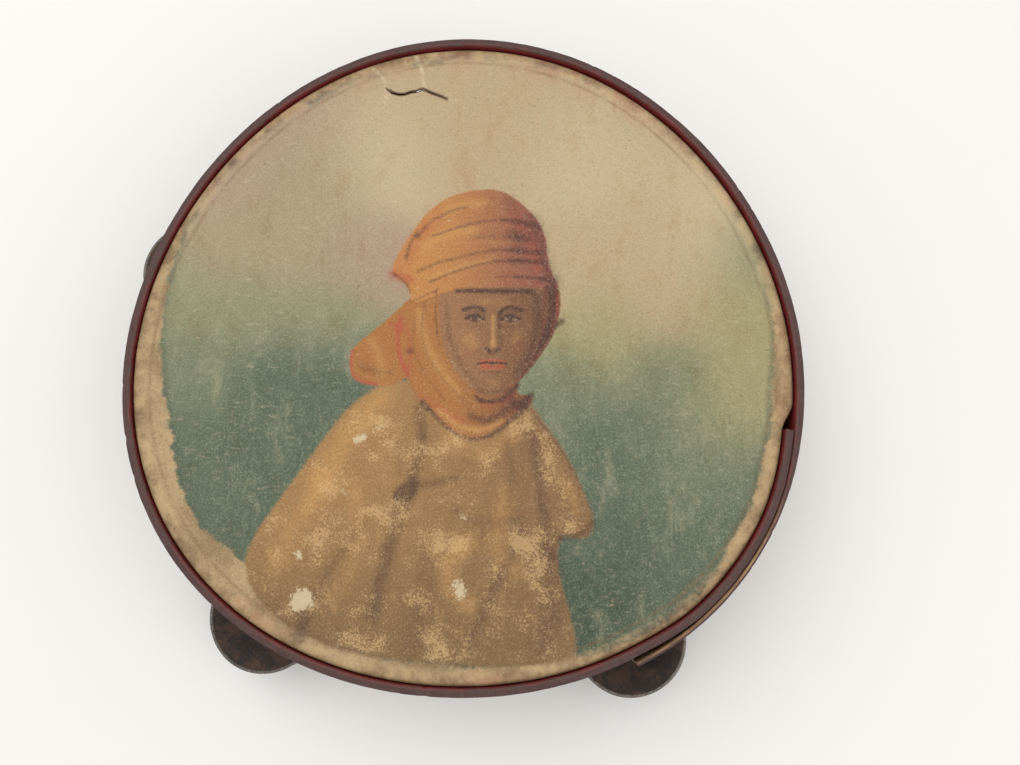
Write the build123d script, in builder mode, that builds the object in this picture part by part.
from build123d import *
import os
from math import cos, radians, sin

# Painted tambourine: one steam-bent wooden strip closed by a long lap joint, a skin head stretched over
# an inner flesh hoop and tacked inside the strip, and pairs of dished iron jingles loose on wire pins.
# The drum lies on its open edge with the head up. Millimetres, +Z up, Z = 0 on the surface it lies on.

# --- Driving dimensions -----------------------------------------------------------------------------

# Hoop strip
hoop_radius = 108.5
hoop_height = 48.0
strip_thickness = 2.6
edge_round = 0.6
lobe_count = 3
lobe_height = 2.0
lobe_angle = 90.0

# Lap joint: the inner end is square and full, the outer end is shaved thin and has sprung open
inner_end_angle = -14.0
lap_angle = 47.0
shaved_thickness = 1.4
shave_lead = 4.0
shave_angle = 20.0
rise_lead = 14.0
glue_gap = 0.15
open_gap = 1.2
open_angle = 14.0

# Head and flesh hoop
head_recess = 2.0
skin_thickness = 0.5
skirt_height = 13.0
head_clearance = 0.25
head_lead = 5.0
flesh_thickness = 4.6
flesh_lead = 40.0
flesh_height = 14.0
flesh_fit = 0.05
flesh_round = 0.4
flesh_joint_angle = 200.0
flesh_joint_gap = 0.4
flesh_joint_slant = 60.0

# Tear in the skin: its line as (across, up) points from the drum's axis, with the half width at each
tear_line = [
    (-28.6, 92.3, 0.08),
    (-27.3, 90.6, 0.25),
    (-24.6, 89.8, 0.38),
    (-22.3, 89.9, 0.25),
    (-20.2, 90.9, 0.3),
    (-18.2, 91.1, 0.28),
    (-16.4, 92.2, 0.15),
    (-14.3, 91.1, 0.25),
    (-12.0, 90.1, 0.22),
    (-10.2, 89.5, 0.12),
    (-8.0, 88.5, 0.05),
]

# Jingles, their slots and pins
jingle_angles = [90.0, 161.0, 232.5, 301.0]
jingle_radius = 18.8
jingle_sheet = 0.6
jingle_dish = 2.6
jingle_boss_radius = 4.5
jingle_rim_width = 1.5
jingle_hole_radius = 1.7
slot_bottom = 13.5
slot_height = 13.0
slot_end_clearance = 3.0
slot_corner = 1.5
pin_radius = 0.75
pin_inset = 0.5
pin_reach = 10.0
pin_fit = 0.05
play = 0.3

# Tacks through the strip into the flesh hoop, and nails through the lap
tack_count = 9
tack_first_angle = 15.0
tack_drop = 7.5
tack_head_radius = 2.3
tack_head_height = 1.1
tack_shank_radius = 0.7
tack_bite = 3.0
nail_angles = [-22.0, -34.0]
nail_heights = [8.0, 21.0]
nail_head_radius = 1.7
nail_head_height = 0.5
nail_shank_radius = 0.6
nail_clinch_radius = 1.2
nail_clinch_height = 0.5
nail_fit = 0.05
seat_gap = 0.15

# Spacing of the points on the bent outlines, in degrees round the drum
coarse_step = 8.0
fine_step = 1.0
fine_lead = 6.0

# --- The bent strip's path --------------------------------------------------------------------------
# The strip is walked clockwise, seen from above, from its inner end: a walk of 360 degrees comes back
# over the inner end, and the last lap_angle degrees are the outer layer of the joint.

full_turn = 360.0
walk_end = full_turn + lap_angle
end_rise = shaved_thickness + open_gap


def smooth(share):
    """0 to 1 with flat ends, as bent wood turns."""
    share = min(max(share, 0.0), 1.0)
    return share * share * (3 - 2 * share)


def plain_radius(angle):
    """Outside of the strip, where it is one layer: a circle pushed into a few slight lobes."""
    return hoop_radius + lobe_height * cos(lobe_count * radians(angle - lobe_angle))


def thickness_at(walk):
    shaved = smooth((walk - full_turn + shave_lead) / shave_angle)
    return strip_thickness - (strip_thickness - shaved_thickness) * shaved


def lap_gap_at(walk):
    opened = smooth((walk - walk_end + open_angle) / open_angle)
    return glue_gap + (open_gap - glue_gap) * opened


def lap_rise_at(walk):
    return end_rise * smooth((walk - full_turn + rise_lead) / (lap_angle + rise_lead))


def outside_at(walk):
    """Radius of the strip's outer face. In the joint the inner layer lies under the outer one."""
    plain = plain_radius(inner_end_angle - walk)
    if walk > lap_angle:
        return plain + lap_rise_at(walk)
    over = walk + full_turn
    return plain + lap_rise_at(over) - thickness_at(over) - lap_gap_at(over)


def inside_at(walk):
    return outside_at(walk) - thickness_at(walk)


def bore_radius_at(walk, lead=head_lead):
    """Radius of the space that the head fills: it eases in ahead of the strip's square inner end."""
    eased = smooth((walk - full_turn + lead) / lead)
    return inside_at(walk) + (inside_at(0) - inside_at(full_turn)) * eased


def walk_to(angle):
    """How far along the single-layer walk a direction from the axis lies."""
    return (inner_end_angle - angle) % full_turn


def face_at(angle):
    """Radius of the outermost face in a direction, which in the joint is the outer layer's."""
    walk = walk_to(angle)
    return outside_at(walk + full_turn if walk < lap_angle else walk)


def steps(start, end):
    """Walk stops: close together round both ends of the lap, where the outline turns quickly."""
    stops = [start]
    while stops[-1] < end:
        here = stops[-1]
        near = here < fine_lead or here > full_turn - fine_lead - coarse_step
        stops.append(min(here + (fine_step if near else coarse_step), end))
    return stops


def at(radius, walk):
    turned = radians(inner_end_angle - walk)
    return (radius * cos(turned), radius * sin(turned))


# --- Where the drum stands ---------------------------------------------------------------------------
# The origin is the middle of the whole outline, jingles included, on the surface it lies on.

pin_circle = {angle: outside_at(walk_to(angle)) - strip_thickness / 2 for angle in jingle_angles}


def reach(towards):
    """The furthest that the hoop or a jingle reaches in one direction from the drum's axis."""
    strip = [
        outside_at(walk) * cos(radians(inner_end_angle - walk - towards))
        for walk in range(int(lap_angle), int(walk_end) + 1)
    ]
    discs = [pin_circle[angle] * cos(radians(angle - towards)) + jingle_radius for angle in jingle_angles]
    return max(strip + discs)


axis_x = (reach(180) - reach(0)) / 2
axis_y = (reach(270) - reach(90)) / 2
drum = Plane((axis_x, axis_y, 0))


def facing_out(angle, radius, height):
    """A plane on the drum's wall at this direction, with its Z axis pointing away from the drum."""
    outward = Vector(cos(radians(angle)), sin(radians(angle)), 0)
    return Plane(
        origin=Vector(axis_x, axis_y, height) + outward * radius,
        x_dir=(-outward.Y, outward.X, 0),
        z_dir=outward,
    )


def on_axis_of(angle, height):
    """A level plane centred on the jingle pin at this direction."""
    radius = pin_circle[angle]
    return Plane((axis_x + radius * cos(radians(angle)), axis_y + radius * sin(radians(angle)), height))


def round_outline(inset, lead=head_lead):
    """Points of a closed outline that follows the strip's inside, this far in from it."""
    return [at(bore_radius_at(walk, lead) - inset, walk) for walk in steps(0.0, full_turn)[:-1]]


def finish(part, name):
    part.label = name
    export_step(part, f"parts/{name}.step")


os.makedirs("parts", exist_ok=True)

# --- Tack and nail places, shared by the pieces they pass through ------------------------------------

head_top = hoop_height - head_recess
tack_height = head_top - tack_drop
tack_angles = [tack_first_angle + full_turn / tack_count * number for number in range(tack_count)]
tack_planes = [facing_out(angle, face_at(angle), tack_height) for angle in tack_angles]
tack_lengths = [
    face_at(angle) - bore_radius_at(walk_to(angle)) + head_clearance + skin_thickness + tack_bite
    for angle in tack_angles
]
nail_planes = [facing_out(angle, face_at(angle), height) for angle in nail_angles for height in nail_heights]
nail_depths = [face_at(angle) - inside_at(walk_to(angle)) for angle in nail_angles for _ in nail_heights]


def side_on(plane):
    """A plane through a fastener's axis, for its half outline: X across it, Y out of the drum."""
    return Plane(plane.origin, x_dir=-plane.x_dir, z_dir=plane.y_dir)


def drill(planes, radius, depth):
    with Locations(*planes):
        Cylinder(radius, 2 * depth, mode=Mode.SUBTRACT)


slot_length = 2 * (jingle_radius + slot_end_clearance)
slot_top = slot_bottom + slot_height
slot_cut = 4 * strip_thickness

# --- Hoop: the bent strip ----------------------------------------------------------------------------

with BuildPart() as hoop:
    with BuildSketch(drum):
        with BuildLine():
            walks = steps(0.0, walk_end)
            outer_face = Spline(*[at(outside_at(walk), walk) for walk in walks])
            inner_face = Spline(*[at(inside_at(walk), walk) for walk in walks])
            Line(outer_face @ 0, inner_face @ 0)
            Line(outer_face @ 1, inner_face @ 1)
        make_face()
    extrude(amount=hoop_height)
    rims = hoop.faces().filter_by(Axis.Z)
    fillet(rims.edges().filter_by(GeomType.BSPLINE), edge_round)
    for angle in jingle_angles:
        with BuildSketch(facing_out(angle, pin_circle[angle], slot_bottom + slot_height / 2)):
            RectangleRounded(slot_length, slot_height, slot_corner)
        extrude(amount=slot_cut, both=True, mode=Mode.SUBTRACT)
        with BuildSketch(on_axis_of(angle, 0)):
            Circle(pin_radius + pin_fit)
        extrude(amount=slot_top + pin_reach, mode=Mode.SUBTRACT)
    drill(tack_planes, tack_shank_radius + nail_fit, max(tack_lengths))
    drill(nail_planes, nail_shank_radius + nail_fit, max(tack_lengths))
finish(hoop.part, "hoop")

# --- Flesh hoop: the inner ring that the skin is lapped over -----------------------------------------

flesh_top = head_top - skin_thickness
flesh_inset = head_clearance + skin_thickness + flesh_fit

with BuildPart() as flesh_hoop:
    with BuildSketch(drum.offset(flesh_top - flesh_fit - flesh_height)):
        with BuildLine():
            Spline(*round_outline(flesh_inset), periodic=True)
        make_face()
        with BuildLine():
            Spline(*round_outline(flesh_inset + flesh_thickness, flesh_lead), periodic=True)
        make_face(mode=Mode.SUBTRACT)
    extrude(amount=flesh_height)
    inner_edges = flesh_hoop.faces().filter_by(Axis.Z).edges().sort_by(SortBy.LENGTH)[:2]
    fillet(inner_edges, flesh_round)
    joint_radius = bore_radius_at(walk_to(flesh_joint_angle))
    joint_plane = facing_out(flesh_joint_angle, joint_radius, flesh_top - flesh_height / 2)
    with Locations(joint_plane.rotated((0, flesh_joint_slant, 0))):
        Box(flesh_joint_gap, 2 * flesh_height, 8 * flesh_thickness, mode=Mode.SUBTRACT)
    drill(tack_planes, tack_shank_radius + nail_fit, max(tack_lengths) + tack_bite)
finish(flesh_hoop.part, "flesh_hoop")

# --- Drumhead: the skin, turned down outside the flesh hoop, with its tear ---------------------------

left_side = [(x, y + half) for x, y, half in tear_line]
right_side = [(x, y - half) for x, y, half in reversed(tear_line)]

with BuildPart() as drumhead:
    with BuildSketch(drum.offset(head_top - skirt_height)):
        with BuildLine():
            Spline(*round_outline(head_clearance), periodic=True)
        make_face()
    extrude(amount=skirt_height)
    with BuildSketch(drum.offset(head_top - skirt_height)):
        with BuildLine():
            Spline(*round_outline(head_clearance + skin_thickness), periodic=True)
        make_face()
    extrude(amount=skirt_height - skin_thickness, mode=Mode.SUBTRACT)
    with BuildSketch(drum.offset(head_top)):
        with BuildLine():
            Polyline(*left_side, *right_side, close=True)
        make_face()
    extrude(amount=-2 * skin_thickness, mode=Mode.SUBTRACT)
    drill(tack_planes, tack_shank_radius + nail_fit, max(tack_lengths) + tack_bite)
finish(drumhead.part, "drumhead")

# --- Tacks: domed heads outside the strip, points in the flesh hoop ----------------------------------

with BuildPart() as head_tacks:
    for plane, length in zip(tack_planes, tack_lengths):
        with BuildSketch(side_on(plane)):
            with BuildLine():
                TangentArc((0, seat_gap + tack_head_height), (tack_head_radius, seat_gap), tangent=(1, 0))
                Polyline(
                    (tack_head_radius, seat_gap),
                    (tack_shank_radius, seat_gap),
                    (tack_shank_radius, 2 * tack_shank_radius - length),
                    (0, -length),
                    (0, seat_gap + tack_head_height),
                )
            make_face()
        revolve(axis=Axis(plane.origin, plane.z_dir))
finish(head_tacks.part, "head_tacks")

# --- Lap nails: flat heads outside, points clinched over inside --------------------------------------

with BuildPart() as lap_nails:
    for plane, depth in zip(nail_planes, nail_depths):
        clinch = -depth - seat_gap
        with BuildSketch(side_on(plane)):
            with BuildLine():
                Polyline(
                    (0, seat_gap + nail_head_height),
                    (nail_head_radius, seat_gap + nail_head_height / 2),
                    (nail_head_radius, seat_gap),
                    (nail_shank_radius, seat_gap),
                    (nail_shank_radius, clinch),
                    (nail_clinch_radius, clinch),
                    (nail_clinch_radius, clinch - nail_clinch_height / 2),
                    (0, clinch - nail_clinch_height),
                    close=True,
                )
            make_face()
        revolve(axis=Axis(plane.origin, plane.z_dir))
finish(lap_nails.part, "lap_nails")

# --- Pins and jingles --------------------------------------------------------------------------------

low_disc_rest = slot_bottom + play
high_disc_rest = low_disc_rest + jingle_sheet + jingle_dish + play


def pin(angle, name):
    """A wire up through the strip's bottom edge, across the slot and into the wood above it."""
    with BuildPart() as wire:
        with BuildSketch(on_axis_of(angle, pin_inset)):
            Circle(pin_radius)
        extrude(amount=slot_top + pin_reach - 2 * pin_inset)
        chamfer(wire.edges().filter_by(GeomType.CIRCLE), pin_inset / 2)
    finish(wire.part, name)


def jingle(angle, name, base, boss_up):
    """A dished disc with a flat rim and a loose centre hole. base is the height of its lowest face."""
    boss = base + jingle_dish if boss_up else base
    rim = base if boss_up else base + jingle_dish
    outline = [
        (jingle_hole_radius, boss),
        (jingle_boss_radius, boss),
        (jingle_radius - jingle_rim_width, rim),
        (jingle_radius, rim),
    ]
    middle = on_axis_of(angle, 0)
    with BuildPart() as disc:
        with BuildSketch(Plane(middle.origin, x_dir=(1, 0, 0), z_dir=(0, -1, 0))):
            with BuildLine():
                under = Spline(*outline, tangents=[(1, 0), (1, 0)])
                over = Spline(*[(x, y + jingle_sheet) for x, y in outline], tangents=[(1, 0), (1, 0)])
                Line(under @ 0, over @ 0)
                Line(under @ 1, over @ 1)
            make_face()
        revolve(axis=Axis(middle.origin, (0, 0, 1)))
    finish(disc.part, name)


for number, angle in enumerate(jingle_angles, start=1):
    pin(angle, f"jingle_pin_{number}")
    jingle(angle, f"jingle_{number}_lower", low_disc_rest, boss_up=True)
    jingle(angle, f"jingle_{number}_upper", high_disc_rest, boss_up=False)
